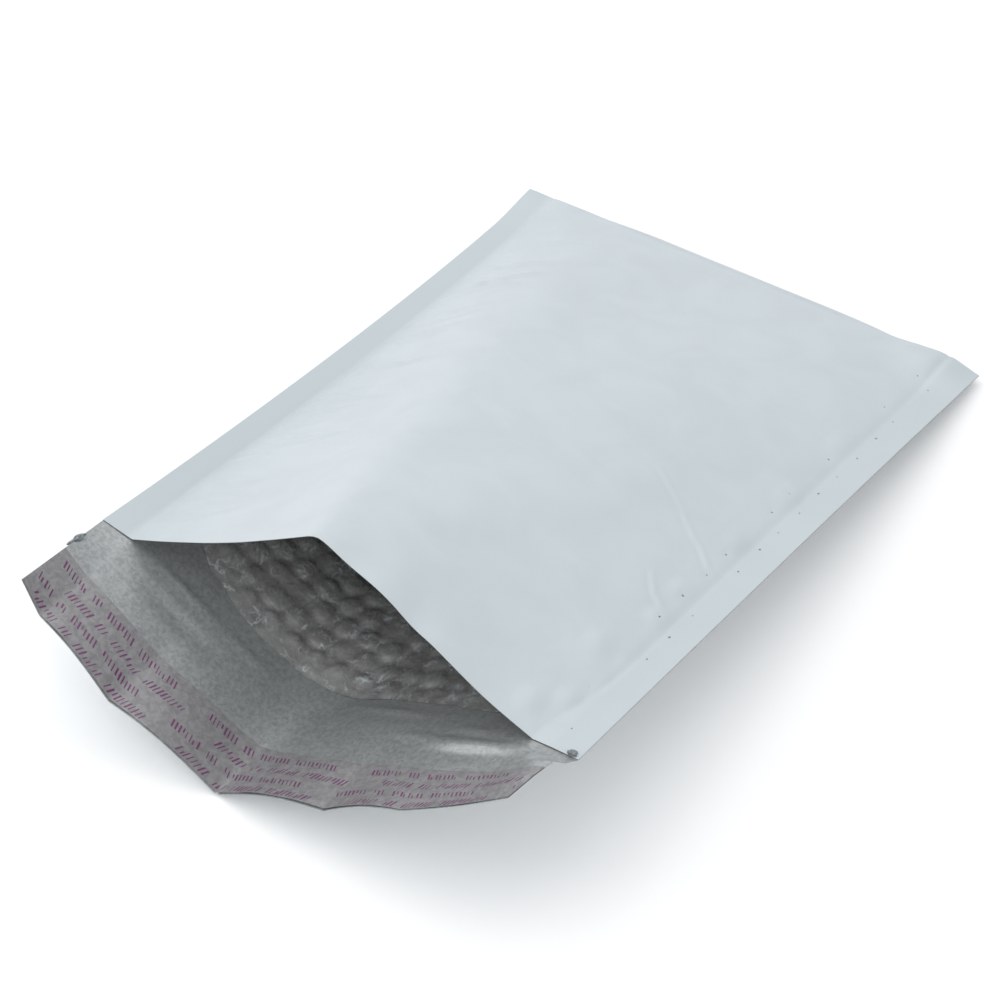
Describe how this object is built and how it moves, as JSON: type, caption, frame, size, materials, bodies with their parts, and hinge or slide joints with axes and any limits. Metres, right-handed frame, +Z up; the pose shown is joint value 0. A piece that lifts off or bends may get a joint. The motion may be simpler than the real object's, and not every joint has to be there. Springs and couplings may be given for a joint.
{
  "type": "padded envelope",
  "caption": "Flat film mailing pouch with a bubble lining, lying on its back with the mouth pushed open and an unsealed adhesive flap under its liner strip.",
  "frame": {"origin": "on the underside of the back panel, at the middle of the pocket's flat footprint", "axes": "+X across the pocket, +Y along the pocket towards its closed end, +Z up from the surface it lies on"},
  "size_m": [0.216, 0.3364, 0.0784],
  "materials": {
    "white_film": "satin co-extruded film, white outside and silver grey inside",
    "bubble_film": "glossy dark grey bubble film",
    "hot_melt": "tacky pressure-sensitive hot-melt",
    "liner_strip": "translucent silicone-coated film with rows of plum coloured dashes"
  },
  "bodies": {
    "root": {"front_film": "white_film", "back_film": "white_film", "front_lining": "bubble_film", "back_lining": "bubble_film", "adhesive_strip": "hot_melt", "release_liner": "liner_strip"}
  },
  "joints": []
}
